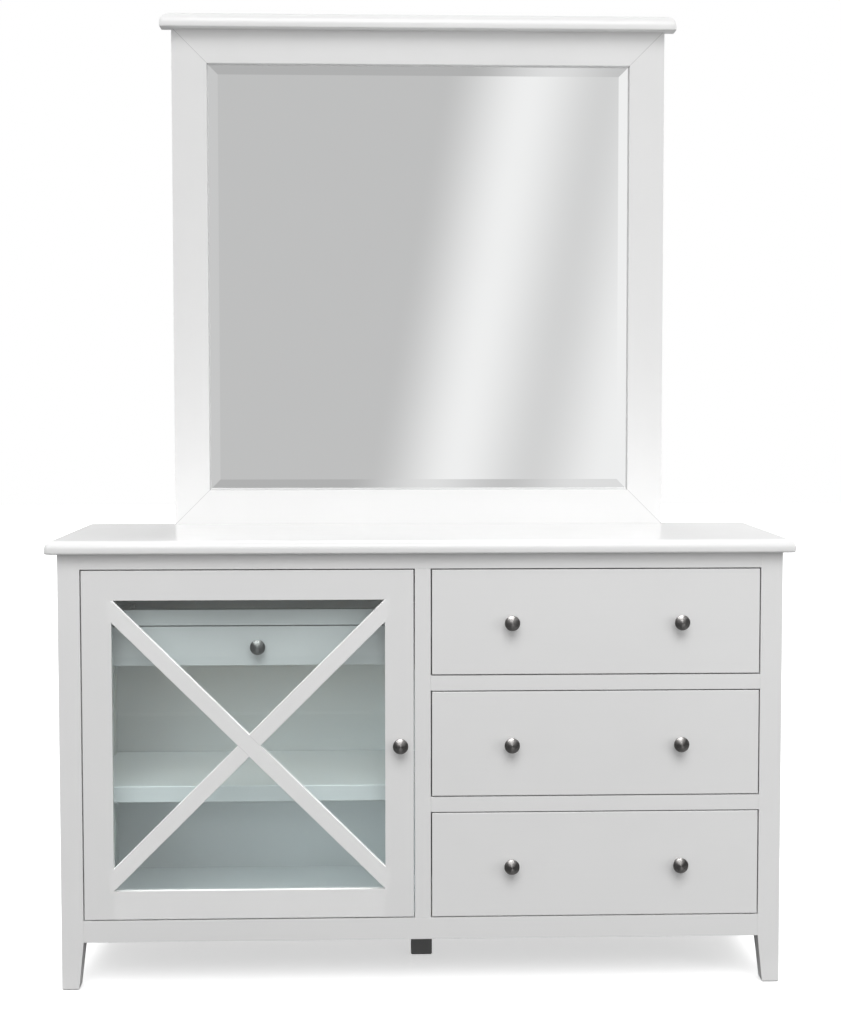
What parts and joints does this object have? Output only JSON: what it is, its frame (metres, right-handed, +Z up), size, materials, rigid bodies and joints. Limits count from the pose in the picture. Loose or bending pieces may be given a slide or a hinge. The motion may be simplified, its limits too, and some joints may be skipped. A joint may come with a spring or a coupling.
{
  "type": "dresser with mirror",
  "caption": "Free-standing dresser with a glazed cross-lattice cupboard door, flush inset drawers on runners and a framed bevelled mirror standing on its top board.",
  "frame": {"origin": "on the floor, under the middle of the whole object's bounding box", "axes": "+Z up, -Y out of the dresser's front, +X to the right as seen from the front"},
  "size_m": [1.405, 0.463, 1.908],
  "materials": {
    "white_lacquer": "white satin lacquer on timber and board",
    "dark_lacquer": "dark grey paint on the middle support leg",
    "drawer_box_wood": "clear-sealed light timber and plywood",
    "backing_board": "bare brown hardboard",
    "satin_nickel": "satin nickel plate",
    "zinc_steel": "bright zinc-plated pressed steel",
    "door_glass": "clear float glass with a faint blue-green cast",
    "mirror_glass": "silvered glass with a ground bevel"
  },
  "bodies": {
    "carcass": {"back_panel": "white_lacquer", "bottom_panel": "white_lacquer", "cabinet_runners": "zinc_steel", "centre_leg": "dark_lacquer", "centre_stile": "white_lacquer", "cupboard_shelf": "white_lacquer", "dresser_top": "white_lacquer", "front_bottom_rail": "white_lacquer", "front_left_leg": "white_lacquer", "front_right_leg": "white_lacquer", "front_top_rail": "white_lacquer", "hinge_arms": "zinc_steel", "inner_drawer_cheeks": "white_lacquer", "inner_drawer_rail": "white_lacquer", "left_side_panel": "white_lacquer", "lower_drawer_rail": "white_lacquer", "mirror_backing": "backing_board", "mirror_bottom_rail": "white_lacquer", "mirror_cornice": "white_lacquer", "mirror_glass": "mirror_glass", "mirror_left_stile": "white_lacquer", "mirror_posts": "white_lacquer", "mirror_right_stile": "white_lacquer", "mirror_top_rail": "white_lacquer", "partition": "white_lacquer", "rear_left_leg": "white_lacquer", "rear_right_leg": "white_lacquer", "rear_top_rail": "white_lacquer", "right_side_panel": "white_lacquer", "runner_packers": "white_lacquer", "shelf_pins": "zinc_steel", "upper_drawer_rail": "white_lacquer"},
    "door": {"door_bottom_rail": "white_lacquer", "door_glass": "door_glass", "door_glass_beads": "white_lacquer", "door_hinge_cups": "zinc_steel", "door_hinge_stile": "white_lacquer", "door_knob": "satin_nickel", "door_knob_stile": "white_lacquer", "door_lattice_lapped_bar": "white_lacquer", "door_lattice_through_bar": "white_lacquer", "door_top_rail": "white_lacquer"},
    "inner_drawer": {"inner_drawer_box": "drawer_box_wood", "inner_drawer_front": "white_lacquer", "inner_drawer_knobs": "satin_nickel", "inner_drawer_runners": "zinc_steel"},
    "upper_drawer": {"upper_drawer_box": "drawer_box_wood", "upper_drawer_front": "white_lacquer", "upper_drawer_knobs": "satin_nickel", "upper_drawer_runners": "zinc_steel"},
    "middle_drawer": {"middle_drawer_box": "drawer_box_wood", "middle_drawer_front": "white_lacquer", "middle_drawer_knobs": "satin_nickel", "middle_drawer_runners": "zinc_steel"},
    "lower_drawer": {"lower_drawer_box": "drawer_box_wood", "lower_drawer_front": "white_lacquer", "lower_drawer_knobs": "satin_nickel", "lower_drawer_runners": "zinc_steel"}
  },
  "joints": [
    {"name": "door_hinge", "type": "hinge", "parent": "carcass", "child": "door", "pos_m": [-0.6378, -0.2045, 0.4647], "axis": [0, 0, -1], "range_deg": [0, 110]},
    {"name": "inner_drawer_slide", "type": "slide", "parent": "carcass", "child": "inner_drawer", "axis": [0, -1, 0], "range_m": [0, 0.154]},
    {"name": "upper_drawer_slide", "type": "slide", "parent": "carcass", "child": "upper_drawer", "axis": [0, -1, 0], "range_m": [0, 0.26]},
    {"name": "middle_drawer_slide", "type": "slide", "parent": "carcass", "child": "middle_drawer", "axis": [0, -1, 0], "range_m": [0, 0.26]},
    {"name": "lower_drawer_slide", "type": "slide", "parent": "carcass", "child": "lower_drawer", "axis": [0, -1, 0], "range_m": [0, 0.26]}
  ],
  "couplings": [
    {"joint": "inner_drawer_slide", "follows": "door_hinge", "m_per_rad": 0.08}
  ]
}
